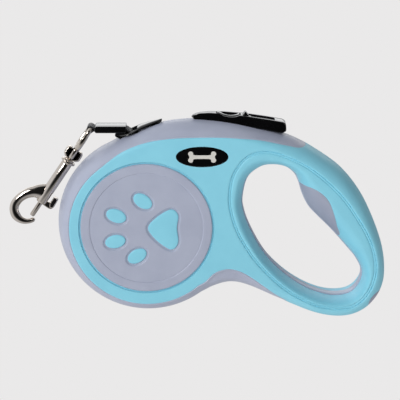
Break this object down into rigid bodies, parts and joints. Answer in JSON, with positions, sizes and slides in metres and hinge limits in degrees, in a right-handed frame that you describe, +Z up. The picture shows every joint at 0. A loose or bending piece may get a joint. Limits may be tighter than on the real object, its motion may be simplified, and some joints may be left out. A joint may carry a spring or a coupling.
{
  "type": "retractable leash",
  "caption": "Hand-held retractable dog leash: round reel case with finger loop, paw-marked discs, thumb brake with lock, spring-wound tape and swivel bolt snap.",
  "frame": {"origin": "middle of the finger opening, in the middle of the case's thickness", "axes": "+X from the snap towards the hand loop, +Y from the front face to the rear face, +Z up as it is held"},
  "size_m": [0.2008, 0.031, 0.1114],
  "materials": {
    "grey_shell": "fine moulded texture, satin",
    "blue_cover": "fine moulded texture, satin",
    "soft_grey": "soft touch, matte",
    "gloss_black": "polished",
    "black_plastic": "semi-gloss",
    "natural_plastic": "natural acetal, satin",
    "nickel": "bright nickel plate",
    "steel": "plain steel",
    "spring_steel": "spring temper",
    "tape": "woven nylon"
  },
  "bodies": {
    "case": {"front_shell": "grey_shell", "rear_shell": "grey_shell", "front_cover": "blue_cover", "rear_cover": "blue_cover", "front_disc": "grey_shell", "rear_disc": "grey_shell", "front_paw_pads": "blue_cover", "rear_paw_pads": "blue_cover", "front_badge": "gloss_black", "rear_badge": "gloss_black", "finger_grip": "soft_grey", "heel_pads": "soft_grey", "case_screws": "steel", "axle": "steel", "axle_screw": "steel", "tape_nozzle": "gloss_black", "tape_run": "tape", "brake_bezel": "black_plastic", "lever_pin": "steel", "brake_spring": "spring_steel"},
    "reel_group": {"reel": "natural_plastic", "reel_flange": "natural_plastic", "spring_cover": "natural_plastic", "power_spring": "spring_steel", "tape_coil": "tape"},
    "button": {"brake_button": "black_plastic"},
    "lever": {"brake_lever": "natural_plastic"},
    "slider": {"lock_slider": "black_plastic"},
    "tape_end": {"tape_stopper": "gloss_black", "tape_loop": "tape"},
    "swivel": {"swivel_eye": "nickel"},
    "snap": {"snap_body": "nickel", "bolt_spring": "spring_steel"},
    "bolt": {"snap_bolt": "nickel"}
  },
  "joints": [
    {"name": "brake_press", "type": "slide", "parent": "case", "child": "button", "axis": [0, 0, -1], "range_m": [0, 0.0025], "stiffness_N_per_m": 400, "springref_m": -0.004, "deforming": ["brake_spring"]},
    {"name": "lever_turn", "type": "hinge", "parent": "case", "child": "lever", "pos_m": [-0.032, 0, 0.046], "axis": [0, -1, 0], "range_deg": [0, 12]},
    {"name": "lock_slide", "type": "slide", "parent": "case", "child": "slider", "axis": [0.9903, 0, -0.1392], "range_m": [0, 0.008]},
    {"name": "reel_spin", "type": "hinge", "parent": "case", "child": "reel_group", "pos_m": [-0.082, 0, 0.004], "axis": [0, -1, 0], "range_deg": [0, 8820], "stiffness_Nm_per_rad": 0.0004, "springref_deg": -8594.37, "deforming": ["power_spring"]},
    {"name": "tape_pull", "type": "slide", "parent": "case", "child": "tape_end", "axis": [-1, 0, 0], "range_m": [0, 5]},
    {"name": "snap_swing", "type": "hinge", "parent": "tape_end", "child": "swivel", "pos_m": [-0.1114, 0, 0.0547], "axis": [0, 1, 0], "range_deg": [0, 180]},
    {"name": "swivel_spin", "type": "hinge", "parent": "swivel", "child": "snap", "pos_m": [-0.1114, 0, 0.0547], "axis": [-0.5592, 0, -0.829], "continuous": true},
    {"name": "bolt_slide", "type": "slide", "parent": "snap", "child": "bolt", "axis": [0.5592, 0, 0.829], "range_m": [0, 0.005], "stiffness_N_per_m": 300, "springref_m": -0.008, "deforming": ["bolt_spring"]}
  ],
  "couplings": [
    {"joint": "lever_turn", "follows": "brake_press", "rad_per_m": 83.2},
    {"joint": "tape_pull", "follows": "reel_spin", "m_per_rad": 0.03245}
  ]
}
